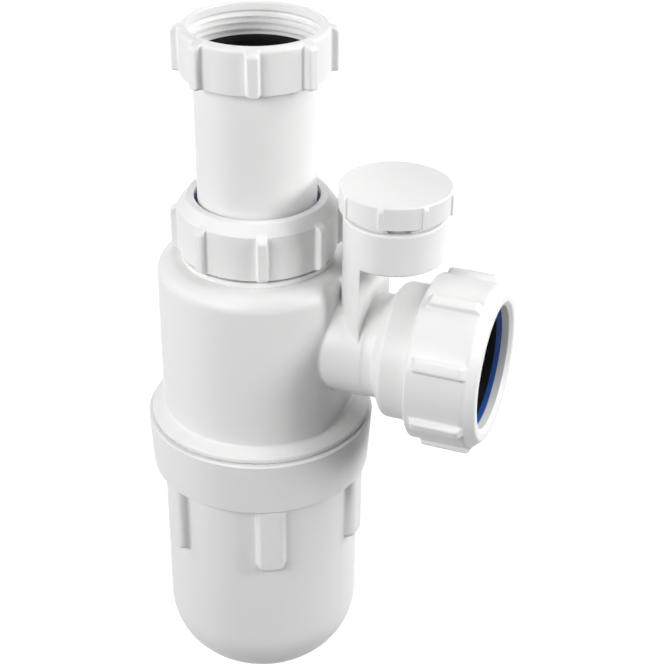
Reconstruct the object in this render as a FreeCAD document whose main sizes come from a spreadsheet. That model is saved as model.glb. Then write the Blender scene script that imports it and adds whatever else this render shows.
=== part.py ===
import FreeCAD, Part
import math
import os
import re
import Sketcher

# Bottle trap with an adjustable inlet, a side outlet and an air valve.
# +Z points up along the main axis and +X along the outlet.
# The origin is the middle of the inlet washer's top face, where the waste's
# threaded tail seats. All sizes are millimetres.

# Driving sizes: name, value, what it is
SIZES = [
    ("slide_gap", 0.3, "radial gap round pieces that turn or slide"),
    ("nut_ribs", 8, "grip ribs on each nut and on the valve cap"),
    ("rib_root", 1.0, "how far a rib reaches into the wall that carries it"),
    ("edge_round", 0.6, "small moulded rounding of outer edges"),

    ("inlet_thread_r", 22.42, "minor radius of the 1 1/2 inch pipe thread"),
    ("inlet_relief", 0.5, "depth of the relief below the inlet thread"),
    ("inlet_mouth_step", 0.5, "how much wider the plain mouth is than the thread"),
    ("inlet_mouth_depth", 4.6, "depth of the plain mouth above the thread"),
    ("inlet_wall", 3.08, "wall of the inlet nut outside its thread"),
    ("inlet_nut_height", 16.3, "height of the inlet nut"),
    ("inlet_rim_round", 2.0, "rounding of the inlet nut's outer rim"),
    ("inlet_lip", 2.0, "thickness of the inlet nut's inner lip"),
    ("inlet_rib_out", 2.7, "how far the inlet nut's ribs stand out"),
    ("inlet_rib_width", 4.2, "width of an inlet nut rib"),
    ("inlet_nut_turn", 21.7, "degrees from +X to the nearest inlet nut rib"),

    ("tube_r", 21.2, "outer radius of the sliding inlet tube"),
    ("tube_wall", 2.1, "wall of the inlet tube"),
    ("tube_length", 116.0, "length of the inlet tube"),
    ("tube_show", 45.5, "tube seen between the two nuts"),
    ("flange_thick", 1.5, "thickness of the tube's flange"),
    ("washer_thick", 1.5, "thickness of the inlet washer"),
    ("washer_bore_r", 17.8, "bore radius of the inlet washer"),

    ("body_nut_r", 28.3, "outer radius of the body nut"),
    ("body_nut_height", 20.6, "height of the body nut"),
    ("body_nut_play", 1.2, "gap between the tube and the body nut's hole"),
    ("body_lip", 2.4, "thickness of the body nut's inner lip"),
    ("body_chamfer_drop", 4.0, "height of the body nut's top chamfer"),
    ("body_chamfer_in", 3.1, "width of the body nut's top chamfer"),
    ("body_rib_r", 30.9, "radius over the body nut's ribs"),
    ("body_rib_width", 3.8, "width of a body nut rib"),
    ("body_rib_rise", 1.0, "how far the body nut's ribs rise up its chamfer"),
    ("body_nut_turn", 26.1, "degrees from +X to the nearest body nut rib"),
    ("neck_r", 25.3, "outer radius of the body's threaded neck"),
    ("neck_play", 0.4, "gap between the tube and the neck's bore"),
    ("ring_thick", 1.2, "thickness of the body nut's slip ring"),
    ("seal_thick", 3.6, "thickness of the body nut's rubber seal"),
    ("seal_taper", 1.4, "how far the seals taper towards their sockets"),

    ("collar_gap", 1.1, "gap between the body nut and the ring below it"),
    ("collar_height", 2.1, "height of the raised ring on the shoulder"),
    ("collar_r", 27.6, "radius of the raised ring on the shoulder"),
    ("body_r", 36.5, "outer radius of the body"),
    ("body_height", 60.0, "body from its shoulder down to the ledge"),
    ("body_wall", 2.4, "wall of the body"),
    ("flat_depth", 2.9, "how far the flat on the side lies inside the round body"),
    ("flat_corner_r", 3.0, "rounding where the flat meets the round side"),
    ("shoulder_round", 6.0, "rounding of the shoulder"),
    ("ledge_r", 41.0, "radius of the ledge over the cup"),
    ("ledge_drop", 2.6, "slope of the ledge"),
    ("ledge_edge", 1.9, "height of the ledge's outer edge"),
    ("skirt_r", 38.9, "outer radius of the threaded skirt"),
    ("skirt_height", 17.0, "height of the skirt"),
    ("skirt_wall", 2.5, "wall of the skirt"),
    ("dip_wall", 2.2, "wall of the dip tube inside the body"),
    ("dip_length", 120.2, "dip tube below the shoulder"),

    ("cup_gap", 0.4, "gap between the ledge and the cup's collar"),
    ("cup_collar_wall", 3.4, "wall of the cup's collar outside the thread"),
    ("cup_collar_taper", 1.2, "how much the collar narrows towards its foot"),
    ("cup_collar_height", 21.8, "height of the cup's collar"),
    ("cup_r", 37.4, "outer radius of the cup"),
    ("cup_wall", 2.4, "wall of the cup"),
    ("cup_height", 113.3, "height of the cup"),
    ("cup_round", 26.0, "rounding of the cup's bottom"),
    ("cup_seal_thick", 2.4, "thickness of the cup's rubber washer"),
    ("cup_ribs", 6, "grip ribs on the cup"),
    ("cup_rib_r", 41.0, "radius over the cup's ribs"),
    ("cup_rib_width", 10.7, "width of a cup rib"),
    ("cup_rib_height", 28.5, "height of a cup rib below the collar"),
    ("cup_rib_round", 2.0, "rounding at the foot of a cup rib"),
    ("cup_turn", -2.0, "degrees from +X to the first cup rib"),

    ("outlet_drop", 28.3, "outlet axis below the shoulder"),
    ("branch_r", 19.0, "outer radius of the branch"),
    ("branch_bore_r", 16.6, "bore radius of the branch"),
    ("branch_step", 0.3, "step on the branch beside the body"),
    ("branch_step_x", 46.5, "distance from the main axis to that step"),
    ("socket_x", 50.5, "distance from the main axis to the socket's back"),
    ("socket_slope", 4.0, "length of the socket's sloping back"),
    ("socket_r", 24.8, "outer radius of the socket behind the nut"),
    ("socket_bore_r", 21.8, "bore radius of the socket, for 43 mm pipe"),
    ("socket_stop_x", 57.5, "distance from the main axis to the pipe stop"),
    ("socket_thread_r", 26.9, "radius of the socket's thread"),
    ("socket_thread_length", 14.1, "length of the socket's thread"),
    ("mouth_x", 90.5, "distance from the main axis to the outlet nut's face"),
    ("outlet_nut_r", 29.9, "outer radius of the outlet nut"),
    ("outlet_nut_length", 25.1, "length of the outlet nut"),
    ("outlet_face_r", 26.4, "outer radius of the outlet nut's front face"),
    ("outlet_chamfer", 3.8, "length of the outlet nut's front chamfer"),
    ("outlet_mouth_r", 22.3, "radius of the hole in the outlet nut"),
    ("outlet_mouth_slope", 1.4, "slope round the edge of that hole"),
    ("outlet_lip", 3.6, "thickness of the outlet nut's inner lip"),
    ("outlet_rib_r", 32.3, "radius over the outlet nut's ribs"),
    ("outlet_rib_width", 4.6, "width of an outlet nut rib"),
    ("outlet_rib_length", 18.5, "length of an outlet nut rib"),
    ("outlet_nut_turn", 21.5, "degrees from +Z to the nearest outlet nut rib"),
    ("outlet_ring_thick", 1.6, "thickness of the outlet slip ring"),
    ("outlet_ring_bore_r", 22.0, "bore radius of the outlet slip ring"),
    ("outlet_seal_thick", 3.8, "thickness of the outlet seal"),
    ("outlet_seal_bore_r", 21.9, "bore radius of the outlet seal"),

    ("valve_x", 51.3, "distance from the main axis to the valve's axis"),
    ("housing_r", 17.9, "outer radius of the valve housing"),
    ("housing_bottom", 37.5, "housing's underside above the outlet axis"),
    ("housing_height", 15.8, "height of the valve housing"),
    ("housing_floor", 2.6, "floor of the valve housing"),
    ("housing_round", 1.6, "rounding of the housing's top and bottom"),
    ("tower_flat_x", 44.8, "distance from the main axis to the tower's flat"),
    ("tower_wall", 2.2, "wall of the tower"),
    ("duct_half_width", 4.0, "half width of the web between body and tower"),
    ("duct_drop", 2.0, "top of that web below the shoulder"),
    ("valve_neck_r", 16.8, "outer radius of the housing's threaded neck"),
    ("valve_neck_height", 5.2, "height of that neck"),
    ("valve_bore_r", 14.9, "bore radius of the housing above its ledge"),
    ("valve_ledge_drop", 3.2, "ledge inside the housing below its top"),
    ("valve_well_r", 13.4, "bore radius of the housing below the ledge"),
    ("vent_width", 8.0, "width of an air slot in the housing's neck"),
    ("vent_height", 2.2, "height of an air slot"),
    ("vents", 4, "air slots round the neck and the seat"),
    ("vent_turn", 24.0, "degrees from +X to the first air slot"),
    ("cap_r", 19.5, "outer radius of the valve cap"),
    ("cap_height", 8.3, "height of the valve cap"),
    ("cap_gap", 2.5, "gap between the cap and the housing"),
    ("cap_roof", 2.5, "thickness of the cap's top"),
    ("cap_recess_r", 14.7, "radius of the recess under the cap"),
    ("cap_rib_r", 20.1, "radius over the cap's ribs"),
    ("cap_rib_width", 2.0, "width of a cap rib"),
    ("cap_turn", 4.0, "degrees from +X to the nearest cap rib"),
    ("gasket_thick", 1.2, "thickness of the cap's rubber ring"),
    ("seat_tube_r", 8.8, "outer radius of the seat's inner rim"),
    ("seat_tube_bore_r", 7.2, "bore radius of the seat's inner rim"),
    ("seat_rim_wall", 1.2, "wall of the seat's outer rim"),
    ("seat_web", 1.8, "thickness of the seat's web"),
    ("seat_drop", 0.6, "seat's rims below the top of the housing's neck"),
    ("guide_r", 2.9, "outer radius of the diaphragm's guide"),
    ("guide_bore_r", 1.9, "bore radius of the guide"),
    ("spoke_width", 1.4, "width of a spoke"),
    ("spokes", 3, "spokes in the seat and in the diaphragm"),
    ("diaphragm_thick", 1.2, "thickness of the rubber diaphragm"),
    ("diaphragm_bore_r", 6.6, "bore radius of the diaphragm's ring"),
    ("pin_r", 1.6, "radius of the diaphragm's pin"),
    ("pin_length", 9.0, "length of the pin below the diaphragm"),
]

doc = FreeCAD.newDocument("bottle_trap")
sheet = doc.addObject("Spreadsheet::Sheet", "Sizes")
for row, (alias, number, note) in enumerate(SIZES, start=1):
    sheet.set("A%d" % row, alias)
    sheet.set("B%d" % row, str(number))
    sheet.set("C%d" % row, note)
    sheet.setAlias("B%d" % row, alias)
doc.recompute()
VALUE = {alias: number for alias, number, note in SIZES}

# Places, each worked out from the sizes above
MOUTH_TOP = "(inlet_nut_height - inlet_lip - flange_thick - washer_thick)"
FLANGE_TOP = "-washer_thick"
INLET_R = "(inlet_thread_r + inlet_wall)"
INLET_RIB_R = "(inlet_thread_r + inlet_wall + inlet_rib_out)"
BODY_NUT_TOP = "(%s - inlet_nut_height - tube_show)" % MOUTH_TOP
NUT_SEAT = "-body_lip"
SHOULDER = "(%s - body_nut_height - collar_gap - collar_height)" % BODY_NUT_TOP
NECK_TOP = "(collar_height + collar_gap + body_nut_height - body_lip - ring_thick - seal_thick)"
NECK_BORE = "(tube_r + neck_play)"
LEDGE_BOTTOM = "(-body_height - ledge_drop - ledge_edge)"
SKIRT_BOTTOM = "(%s - skirt_height)" % LEDGE_BOTTOM
FLAT_X = "(body_r - flat_depth)"
INNER_R = "(body_r - body_wall)"
CUP_BORE = "(skirt_r + slide_gap)"
COLLAR_R = "(skirt_r + slide_gap + cup_collar_wall)"
COLLAR_FOOT_R = "(%s - cup_collar_taper)" % COLLAR_R
CUP_LEDGE = "(-(skirt_height + cup_seal_thick - cup_gap))"
OUTLET_Z = "(%s - outlet_drop)" % SHOULDER
SOCKET_END = "(mouth_x - outlet_lip - outlet_ring_thick - outlet_seal_thick)"
HOUSING_TOP = "(housing_bottom + housing_height - outlet_drop)"
HOUSING_UNDER = "(housing_bottom - outlet_drop)"
VALVE_NECK_TOP = "(%s + valve_neck_height)" % HOUSING_TOP
VALVE_LEDGE = "(%s - valve_ledge_drop)" % HOUSING_TOP
SEAT_TOP = "(valve_neck_height + valve_ledge_drop - seat_drop)"

ALIASES = re.compile(r"\b(%s)\b" % "|".join(sorted(VALUE, key=len, reverse=True)))


def bound(text):
    """The expression that reads its sizes from the sheet."""
    return ALIASES.sub(r"Sizes.\1", text)


def add_body(name, x="0", z="0", turn=None, axis=(0, 0, 1)):
    """A named body placed at x, z and turned by some degrees about an axis."""
    body = doc.addObject("PartDesign::Body", name)
    body.Label = name
    body.Placement = FreeCAD.Placement(
        FreeCAD.Vector(0, 0, 0), FreeCAD.Rotation(FreeCAD.Vector(*axis), 10))
    body.setExpression(".Placement.Base.x", "(" + bound(x) + ") * 1 mm")
    body.setExpression(".Placement.Base.z", "(" + bound(z) + ") * 1 mm")
    angle = "0 deg" if turn is None else bound(turn) + " * 1 deg"
    body.setExpression(".Placement.Rotation.Angle", angle)
    return body


def origin_part(body, role):
    """One of the body's own origin planes or axes."""
    for feature in body.Origin.OriginFeatures:
        if feature.Role == role:
            return feature
    raise ValueError("no origin feature called " + role)


def add_sketch(body, name, plane="XZ_Plane", across="0", up="0", out="0"):
    """A sketch on an origin plane, moved across, up and out of that plane."""
    sketch = body.newObject("Sketcher::SketchObject", name)
    sketch.AttachmentSupport = [(origin_part(body, plane), "")]
    sketch.MapMode = "FlatFace"
    for axis, text in (("x", across), ("y", up), ("z", out)):
        if text != "0":
            sketch.setExpression(".AttachmentOffset.Base." + axis, "(" + bound(text) + ") * 1 mm")
    return sketch


def pin_point(sketch, line, end, x_text, y_text, rough):
    """Ties one point of a line to two expressions."""
    for kind, text, start in (("DistanceX", x_text, rough.x), ("DistanceY", y_text, rough.y)):
        index = sketch.addConstraint(Sketcher.Constraint(kind, line, end, start))
        sketch.setExpression("Constraints[%d]" % index, bound(text))


def add_polygon(sketch, points):
    """A closed outline whose corners are pairs of expressions."""
    count = len(points)
    step = 2 * math.pi / count
    rough = [FreeCAD.Vector(60 + 20 * math.cos(i * step), 60 + 20 * math.sin(i * step), 0)
             for i in range(count)]
    for i in range(count):
        sketch.addGeometry(Part.LineSegment(rough[i], rough[(i + 1) % count]), False)
    for i in range(count):
        sketch.addConstraint(Sketcher.Constraint("Coincident", i, 2, (i + 1) % count, 1))
    for i, (x_text, y_text) in enumerate(points):
        pin_point(sketch, i, 1, x_text, y_text, rough[i])


def add_flatted_circle(sketch, radius, chord):
    """The part of a circle about the sketch's origin left of a vertical chord.

    The radius and the chord's place are each an expression and its value."""
    r, x = radius[1], chord[1]
    half = math.acos(x / r)
    arc = Part.ArcOfCircle(
        Part.Circle(FreeCAD.Vector(0, 0, 0), FreeCAD.Vector(0, 0, 1), r), half, 2 * math.pi - half)
    sketch.addGeometry(arc, False)
    top = FreeCAD.Vector(x, r * math.sin(half), 0)
    low = FreeCAD.Vector(x, -r * math.sin(half), 0)
    sketch.addGeometry(Part.LineSegment(low, top), False)
    sketch.addConstraint(Sketcher.Constraint("Coincident", 0, 3, -1, 1))
    sketch.addConstraint(Sketcher.Constraint("Coincident", 0, 2, 1, 1))
    sketch.addConstraint(Sketcher.Constraint("Coincident", 1, 2, 0, 1))
    sketch.addConstraint(Sketcher.Constraint("Vertical", 1))
    index = sketch.addConstraint(Sketcher.Constraint("Radius", 0, r))
    sketch.setExpression("Constraints[%d]" % index, bound(radius[0]))
    index = sketch.addConstraint(Sketcher.Constraint("DistanceX", 1, 1, x))
    sketch.setExpression("Constraints[%d]" % index, bound(chord[0]))


def check_cut(body, feature, before):
    """A cut that points away from the solid takes nothing off it."""
    if feature.Shape.Volume > before - 0.01:
        raise RuntimeError("%s cuts nothing off %s" % (feature.Name, body.Label))


def revolve(body, name, points, axis="V_Axis", across="0", up="0", cut=False):
    """Turns an outline on the XZ plane about the sketch's own axis."""
    before = body.Tip.Shape.Volume if cut else 0
    sketch = add_sketch(body, name + "_section", across=across, up=up)
    add_polygon(sketch, points)
    kind = "PartDesign::Groove" if cut else "PartDesign::Revolution"
    feature = body.newObject(kind, name)
    feature.Profile = (sketch, [""])
    feature.ReferenceAxis = (sketch, [axis])
    feature.Angle = 360.0
    doc.recompute()
    if cut:
        check_cut(body, feature, before)
    return feature


def extrude(body, name, sketch, length, cut=False, both=False, reverse=False):
    """Pads or pockets a sketch by a length that is an expression."""
    before = body.Tip.Shape.Volume if cut else 0
    feature = body.newObject("PartDesign::Pocket" if cut else "PartDesign::Pad", name)
    feature.Profile = (sketch, [""])
    feature.setExpression("Length", "(" + bound(length) + ") * 1 mm")
    if both:
        feature.SideType = "Symmetric"
    feature.Reversed = reverse
    doc.recompute()
    if cut:
        check_cut(body, feature, before)
    return feature


def repeat(body, name, feature, count, axis="Z_Axis"):
    """Copies a feature round a body's own axis, or round its sketch's normal."""
    pattern = body.newObject("PartDesign::PolarPattern", name)
    pattern.Originals = [feature]
    on_sketch = axis == "N_Axis"
    pattern.Axis = (feature.Profile[0], [axis]) if on_sketch else (origin_part(body, axis), [""])
    pattern.Angle = 360.0
    pattern.setExpression("Occurrences", bound(count))
    body.Tip = pattern
    doc.recompute()
    return pattern


def round_edges(body, name, radius, chosen, test_count=1):
    """Rounds the edges of the body's tip that a test picks out."""
    base = body.Tip
    edges = ["Edge%d" % (i + 1) for i, edge in enumerate(base.Shape.Edges) if chosen(edge)]
    if len(edges) < test_count:
        raise ValueError("%s found %d edges" % (name, len(edges)))
    feature = body.newObject("PartDesign::Fillet", name)
    feature.Base = (base, edges)
    feature.setExpression("Radius", bound(radius) + " * 1 mm")
    doc.recompute()
    return feature


def circle_at(r, z):
    """A test for round edges about Z with a given radius and height."""
    def chosen(edge):
        box = edge.BoundBox
        is_round = isinstance(edge.Curve, Part.Circle)
        return (is_round and abs(edge.Curve.Radius - r) < 0.01
                and abs(box.ZMin - z) < 0.01 and abs(box.ZMax - z) < 0.01)
    return chosen


def grip_ribs(body, name, points, width, count, axis="Z_Axis"):
    """A rib with a given side outline, repeated round the axis."""
    sketch = add_sketch(body, name + "_outline")
    add_polygon(sketch, points)
    rib = extrude(body, name, sketch, width, both=True)
    return repeat(body, name + "_all", rib, count, axis)


def make_inlet_nut():
    """Union nut: plain mouth, thread, and a lip below that catches the flange."""
    body = add_body("inlet_nut", z=MOUTH_TOP, turn="inlet_nut_turn")
    revolve(body, "shell", [
        ("inlet_thread_r + inlet_mouth_step", "0"),
        (INLET_R + " - inlet_rim_round", "0"),
        (INLET_R + " - inlet_rim_round * 0.3", "-inlet_rim_round * 0.3"),
        (INLET_R, "-inlet_rim_round"),
        (INLET_R, "-inlet_nut_height"),
        ("tube_r + slide_gap", "-inlet_nut_height"),
        ("tube_r + slide_gap", "-inlet_nut_height + inlet_lip"),
        ("inlet_thread_r + inlet_relief", "-inlet_nut_height + inlet_lip"),
        ("inlet_thread_r + inlet_relief", "-%s - inlet_relief" % MOUTH_TOP),
        ("inlet_thread_r", "-" + MOUTH_TOP),
        ("inlet_thread_r", "-inlet_mouth_depth - inlet_mouth_step"),
        ("inlet_thread_r + inlet_mouth_step", "-inlet_mouth_depth"),
    ])
    grip_ribs(body, "rib", [
        (INLET_R + " - rib_root", "-inlet_rim_round * 0.4"),
        (INLET_RIB_R + " - edge_round", "-inlet_rim_round * 0.4"),
        (INLET_RIB_R, "-inlet_rim_round * 0.4 - edge_round"),
        (INLET_RIB_R, "-inlet_nut_height"),
        (INLET_R + " - rib_root", "-inlet_nut_height"),
    ], "inlet_rib_width", "nut_ribs")


def make_inlet_tube():
    """Straight tube with a flange at its top."""
    body = add_body("inlet_tube", z=FLANGE_TOP)
    revolve(body, "tube", [
        ("tube_r - tube_wall", "0"),
        ("inlet_thread_r - slide_gap", "0"),
        ("inlet_thread_r - slide_gap", "-flange_thick"),
        ("tube_r", "-flange_thick"),
        ("tube_r", "-tube_length + edge_round"),
        ("tube_r - edge_round", "-tube_length"),
        ("tube_r - tube_wall", "-tube_length"),
    ])


def make_inlet_washer():
    """Rubber washer that lies on the flange."""
    body = add_body("inlet_washer", z=FLANGE_TOP)
    revolve(body, "washer", [
        ("washer_bore_r", "0"),
        ("inlet_thread_r - slide_gap", "0"),
        ("inlet_thread_r - slide_gap", "washer_thick"),
        ("washer_bore_r + washer_thick * 0.5", "washer_thick"),
        ("washer_bore_r", "washer_thick * 0.5"),
    ])


def make_body_nut():
    """Compression nut with a chamfered top and an open hole round the tube."""
    body = add_body("body_nut", z=BODY_NUT_TOP, turn="body_nut_turn")
    revolve(body, "shell", [
        ("tube_r + body_nut_play", "0"),
        ("body_nut_r - body_chamfer_in", "0"),
        ("body_nut_r", "-body_chamfer_drop"),
        ("body_nut_r", "-body_nut_height"),
        ("neck_r + slide_gap", "-body_nut_height"),
        ("neck_r + slide_gap", "-body_lip"),
        ("tube_r + body_nut_play", "-body_lip"),
    ])
    grip_ribs(body, "rib", [
        ("body_nut_r - rib_root", "-body_chamfer_drop + body_rib_rise"),
        ("body_rib_r - edge_round * 2", "-body_chamfer_drop + body_rib_rise"),
        ("body_rib_r", "-body_chamfer_drop + body_rib_rise - edge_round * 2"),
        ("body_rib_r", "-body_nut_height"),
        ("body_nut_r - rib_root", "-body_nut_height"),
    ], "body_rib_width", "nut_ribs")


def make_body_slip_ring():
    """Thin plastic ring that lets the nut turn on the seal."""
    body = add_body("body_slip_ring", z=BODY_NUT_TOP + NUT_SEAT)
    revolve(body, "ring", [
        ("tube_r + slide_gap", "0"),
        ("neck_r", "0"),
        ("neck_r", "-ring_thick"),
        ("tube_r + slide_gap", "-ring_thick"),
    ])


def make_body_seal():
    """Rubber ring between the slip ring and the top of the neck."""
    body = add_body("body_seal", z=BODY_NUT_TOP + NUT_SEAT + " - ring_thick")
    revolve(body, "ring", [
        ("tube_r + slide_gap", "0"),
        ("neck_r", "0"),
        ("neck_r", "-seal_thick + seal_taper"),
        ("neck_r - seal_taper", "-seal_thick"),
        ("tube_r + slide_gap", "-seal_thick"),
    ])


def add_body_shell(body):
    """The round side with its flat, rounded shoulder, neck, ledge and skirt."""
    outline = add_sketch(body, "side_outline", plane="XY_Plane", out="-body_height")
    flat = VALUE["body_r"] - VALUE["flat_depth"]
    add_flatted_circle(outline, ("body_r", VALUE["body_r"]), (FLAT_X, flat))
    extrude(body, "side", outline, "body_height")
    half = math.sqrt(VALUE["body_r"] ** 2 - flat ** 2)
    round_edges(body, "flat_corners", "flat_corner_r", lambda edge: (
        abs(edge.BoundBox.XMin - flat) < 0.01
        and abs(edge.BoundBox.XMax - flat) < 0.01
        and abs(abs(edge.BoundBox.YMin) - half) < 0.01
        and edge.BoundBox.ZLength > 1.0), 2)
    round_edges(body, "shoulder", "shoulder_round", lambda edge: abs(edge.BoundBox.ZMin) < 0.01, 2)
    revolve(body, "neck", [
        ("0", "-body_wall"),
        ("0", NECK_TOP),
        ("neck_r", NECK_TOP),
        ("neck_r", "collar_height"),
        ("collar_r", "collar_height"),
        ("collar_r", "-body_wall"),
    ])
    revolve(body, "ledge", [
        ("0", "-body_height"),
        ("body_r", "-body_height"),
        ("ledge_r", "-body_height - ledge_drop"),
        ("ledge_r", LEDGE_BOTTOM),
        ("skirt_r", LEDGE_BOTTOM),
        ("skirt_r", SKIRT_BOTTOM),
        ("0", SKIRT_BOTTOM),
    ])


def add_outlet_shell(body):
    """The branch with its step, and the socket with its thread."""
    revolve(body, "branch", [
        ("body_r * 0.5", "0"),
        ("body_r * 0.5", "branch_r + branch_step"),
        ("branch_step_x", "branch_r + branch_step"),
        ("branch_step_x", "branch_r"),
        ("socket_x", "branch_r"),
        ("socket_x + socket_slope", "socket_r"),
        (SOCKET_END + " - socket_thread_length", "socket_r"),
        (SOCKET_END + " - socket_thread_length", "socket_thread_r"),
        (SOCKET_END, "socket_thread_r"),
        (SOCKET_END, "0"),
    ], axis="H_Axis", up="-outlet_drop")


def add_tower(body):
    """The half-round tower on the branch, its web to the body and the housing."""
    reach = VALUE["tower_flat_x"] - VALUE["valve_x"]
    outline = add_sketch(body, "tower_outline", plane="XY_Plane", across="valve_x", out="-outlet_drop")
    add_flatted_circle(outline, ("housing_r", VALUE["housing_r"]), ("tower_flat_x - valve_x", reach))
    extrude(body, "tower", outline, "housing_bottom + housing_floor * 0.5")
    outline = add_sketch(body, "web_outline", plane="XY_Plane", out="-outlet_drop")
    add_polygon(outline, [
        (FLAT_X + " - body_wall * 0.5", "-duct_half_width"),
        ("tower_flat_x - tower_wall", "-duct_half_width"),
        ("tower_flat_x - tower_wall", "duct_half_width"),
        (FLAT_X + " - body_wall * 0.5", "duct_half_width"),
    ])
    extrude(body, "web", outline, "outlet_drop - duct_drop")
    revolve(body, "housing", [
        ("0", HOUSING_UNDER),
        ("housing_r - housing_round", HOUSING_UNDER),
        ("housing_r", HOUSING_UNDER + " + housing_round"),
        ("housing_r", HOUSING_TOP + " - housing_round * 0.5"),
        ("housing_r - housing_round * 0.5", HOUSING_TOP),
        ("valve_neck_r", HOUSING_TOP),
        ("valve_neck_r", VALVE_NECK_TOP),
        ("0", VALVE_NECK_TOP),
    ], across="valve_x")


def cut_body_cavity(body):
    """The chamber inside the body, flat beside the branch, and the skirt's bore."""
    outline = add_sketch(body, "chamber_outline", plane="XY_Plane", out=SKIRT_BOTTOM)
    inner = VALUE["body_r"] - VALUE["body_wall"]
    chord = inner - VALUE["flat_depth"]
    add_flatted_circle(outline, (INNER_R, inner), (INNER_R + " - flat_depth", chord))
    extrude(body, "chamber", outline, "-" + SKIRT_BOTTOM + " - body_wall", cut=True, reverse=True)
    revolve(body, "skirt_bore", [
        ("0", SKIRT_BOTTOM),
        ("skirt_r - skirt_wall", SKIRT_BOTTOM),
        ("skirt_r - skirt_wall", "-body_height - body_wall"),
        ("0", "-body_height - body_wall"),
    ], cut=True)
    revolve(body, "neck_bore", [
        ("0", "-body_wall * 2"),
        (NECK_BORE, "-body_wall * 2"),
        (NECK_BORE, NECK_TOP),
        ("0", NECK_TOP),
    ], cut=True)


def cut_outlet_bore(body):
    """The waterway through the branch and the pipe's socket."""
    revolve(body, "outlet_bore", [
        (FLAT_X + " - body_wall * 2", "0"),
        (FLAT_X + " - body_wall * 2", "branch_bore_r"),
        ("socket_stop_x", "branch_bore_r"),
        ("socket_stop_x", "socket_bore_r"),
        (SOCKET_END, "socket_bore_r"),
        (SOCKET_END, "0"),
    ], axis="H_Axis", up="-outlet_drop", cut=True)


def cut_valve_bore(body):
    """The valve's well and its half-round channel down to the branch."""
    revolve(body, "valve_bore", [
        ("0", HOUSING_UNDER + " + housing_floor"),
        ("valve_well_r", HOUSING_UNDER + " + housing_floor"),
        ("valve_well_r", VALVE_LEDGE),
        ("valve_bore_r", VALVE_LEDGE),
        ("valve_bore_r", VALVE_NECK_TOP),
        ("0", VALVE_NECK_TOP),
    ], across="valve_x", cut=True)
    reach = VALUE["tower_flat_x"] - VALUE["tower_wall"] - VALUE["valve_x"]
    outline = add_sketch(body, "channel_outline", plane="XY_Plane", across="valve_x", out="-outlet_drop")
    add_flatted_circle(outline, ("valve_well_r", VALUE["valve_well_r"]),
                       ("tower_flat_x - tower_wall - valve_x", reach))
    extrude(body, "channel", outline, "housing_bottom + housing_floor * 1.5", cut=True, reverse=True)
    outline = add_sketch(body, "vent_outline", plane="XY_Plane", across="valve_x", out=HOUSING_TOP)
    corners = [("valve_well_r * 0.85", "-vent_width * 0.5"), ("housing_r", "-vent_width * 0.5"),
               ("housing_r", "vent_width * 0.5"), ("valve_well_r * 0.85", "vent_width * 0.5")]
    add_polygon(outline, [
        ("(%s) * cos(vent_turn * 1 deg) - (%s) * sin(vent_turn * 1 deg)" % corner,
         "(%s) * sin(vent_turn * 1 deg) + (%s) * cos(vent_turn * 1 deg)" % corner)
        for corner in corners])
    vent = extrude(body, "vent", outline, "vent_height", cut=True, reverse=True)
    repeat(body, "air_slots", vent, "vents", axis="N_Axis")


def make_trap_body():
    """One moulding: neck, shouldered body, skirt, dip tube, outlet and valve tower."""
    body = add_body("trap_body", z=SHOULDER)
    add_body_shell(body)
    add_outlet_shell(body)
    add_tower(body)
    cut_body_cavity(body)
    cut_outlet_bore(body)
    cut_valve_bore(body)
    revolve(body, "dip_tube", [
        (NECK_BORE, "-body_wall * 0.5"),
        (NECK_BORE + " + dip_wall", "-body_wall * 0.5"),
        (NECK_BORE + " + dip_wall", "-dip_length"),
        (NECK_BORE, "-dip_length"),
    ])


def make_cup():
    """Threaded collar, domed cup and grip ribs."""
    body = add_body("cup", z="%s + %s - cup_gap" % (SHOULDER, LEDGE_BOTTOM), turn="cup_turn")
    revolve(body, "outside", [
        ("0", "0"),
        (COLLAR_R + " - edge_round", "0"),
        (COLLAR_R, "-edge_round"),
        (COLLAR_FOOT_R, "-cup_collar_height + edge_round"),
        (COLLAR_FOOT_R + " - edge_round", "-cup_collar_height"),
        ("cup_r", "-cup_collar_height"),
        ("cup_r", "-cup_height"),
        ("0", "-cup_height"),
    ])
    grip_ribs(body, "rib", [
        ("cup_r - rib_root", "-cup_collar_height + rib_root"),
        ("cup_rib_r", "-cup_collar_height + rib_root"),
        ("cup_rib_r", "-cup_collar_height - cup_rib_height + cup_rib_round"),
        ("cup_rib_r - cup_rib_round * 0.3", "-cup_collar_height - cup_rib_height + cup_rib_round * 0.3"),
        ("cup_rib_r - cup_rib_round", "-cup_collar_height - cup_rib_height"),
        ("cup_r - rib_root", "-cup_collar_height - cup_rib_height"),
    ], "cup_rib_width", "cup_ribs")
    revolve(body, "thread_bore", [
        ("0", "0"),
        (CUP_BORE, "0"),
        (CUP_BORE, CUP_LEDGE),
        ("0", CUP_LEDGE),
    ], cut=True)
    sketch = add_sketch(body, "well_outline", plane="XY_Plane")
    sketch.addGeometry(Part.Circle(FreeCAD.Vector(0, 0, 0), FreeCAD.Vector(0, 0, 1), 30), False)
    sketch.addConstraint(Sketcher.Constraint("Coincident", 0, 3, -1, 1))
    index = sketch.addConstraint(Sketcher.Constraint("Radius", 0, 30))
    sketch.setExpression("Constraints[%d]" % index, bound("cup_r - cup_wall"))
    extrude(body, "well", sketch, "cup_height - cup_wall", cut=True)
    inner_r = VALUE["cup_r"] - VALUE["cup_wall"]
    round_edges(body, "well_dome", "(cup_round - cup_wall)",
                circle_at(inner_r, VALUE["cup_wall"] - VALUE["cup_height"]))
    round_edges(body, "dome", "cup_round", circle_at(VALUE["cup_r"], -VALUE["cup_height"]))


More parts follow.
